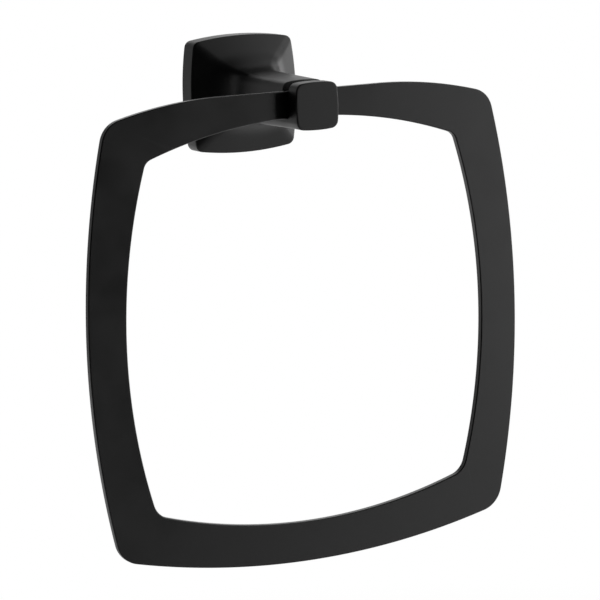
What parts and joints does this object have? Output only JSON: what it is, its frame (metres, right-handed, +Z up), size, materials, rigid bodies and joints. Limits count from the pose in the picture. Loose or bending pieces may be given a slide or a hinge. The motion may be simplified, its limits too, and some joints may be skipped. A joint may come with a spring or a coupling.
{
  "type": "towel ring",
  "caption": "Wall-mounted towel ring: a flat, rounded-square ring hung in the open slot of a cast post with a flared square flange, hooked on a hidden wall bracket.",
  "frame": {"origin": "middle of the post's square flange on the wall plane", "axes": "+Y into the wall, +Z up, +X to the right as seen by someone facing the wall"},
  "size_m": [0.18, 0.0665, 0.1945],
  "materials": {
    "post_coat": "satin black coat",
    "ring_coat": "satin black coat",
    "bracket_steel": "zinc-plated steel plate",
    "screw_steel": "dark oxide steel"
  },
  "bodies": {
    "root": {"post": "post_coat", "ring": "ring_coat", "wall_bracket": "bracket_steel", "set_screw": "screw_steel"}
  },
  "joints": []
}
